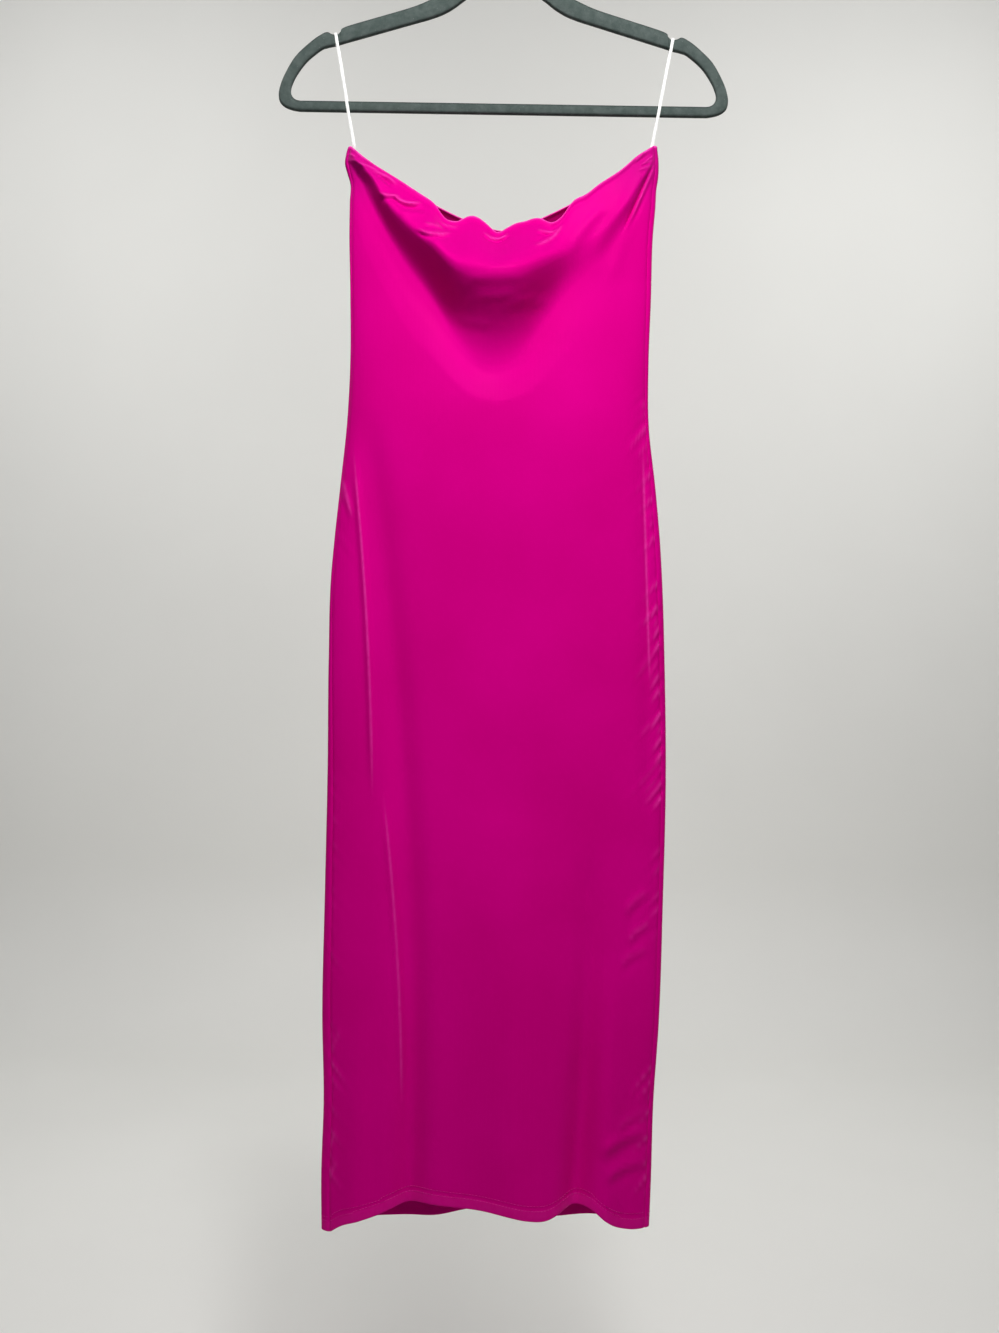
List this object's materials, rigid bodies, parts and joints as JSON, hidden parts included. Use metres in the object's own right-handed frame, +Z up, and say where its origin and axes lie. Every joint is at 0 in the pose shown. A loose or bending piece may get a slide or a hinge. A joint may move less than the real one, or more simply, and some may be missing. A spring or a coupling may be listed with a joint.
{
  "type": "strapless dress on a hanger",
  "caption": "Straight strapless midi dress in stretch jersey with a draped cowl front, hung by ribbon loops over the notches of a slim flocked hanger with a trouser bar.",
  "frame": {"origin": "top of the inside of the hanger's hook, where the hook bears on a rail", "axes": "+Z up, X across the dress from side seam to side seam, the front of the dress faces -Y"},
  "size_m": [0.445, 0.0831, 1.3423],
  "materials": {
    "pink_jersey": "smooth double layer of stretch jersey with a soft sheen",
    "white_ribbon": "narrow satin ribbon",
    "grey_green_flock": "short matte flock over moulded plastic",
    "hook_wire": "polished plated wire"
  },
  "bodies": {
    "root": {"front_panel": "pink_jersey", "back_panel": "pink_jersey", "hanger_loop_left": "white_ribbon", "hanger_loop_right": "white_ribbon", "hanger_body": "grey_green_flock", "hanger_hook": "hook_wire"}
  },
  "joints": []
}
